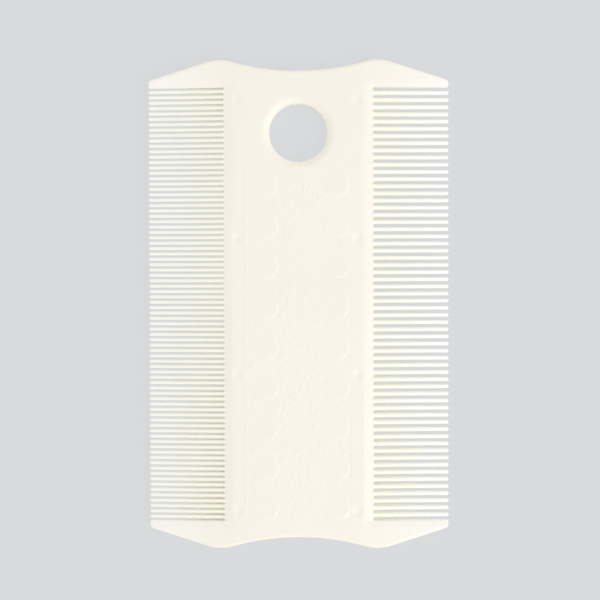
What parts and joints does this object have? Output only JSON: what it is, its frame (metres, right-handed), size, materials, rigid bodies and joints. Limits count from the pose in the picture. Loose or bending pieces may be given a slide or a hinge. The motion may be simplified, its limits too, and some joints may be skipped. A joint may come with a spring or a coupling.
{
  "type": "flea comb",
  "caption": "Flat two-sided flea comb with a wide grip plate, fine teeth along one side, coarser teeth along the other, solid end guards and a hanging hole.",
  "frame": {"origin": "centre of the comb's outline, on its back face", "axes": "+X across the comb towards the coarse teeth, +Y along it towards the end with the hanging hole, +Z out of its front face"},
  "size_m": [0.0552, 0.09, 0.0036],
  "materials": {
    "plate_plastic": "smooth, slightly glossy cream plastic",
    "tooth_plastic": "the same plastic, paler where it is thin"
  },
  "bodies": {
    "root": {"grip_plate": "plate_plastic", "fine_tooth_row": "tooth_plastic", "coarse_tooth_row": "tooth_plastic", "fine_side_top_guard": "plate_plastic", "fine_side_bottom_guard": "plate_plastic", "coarse_side_top_guard": "plate_plastic", "coarse_side_bottom_guard": "plate_plastic"}
  },
  "joints": []
}
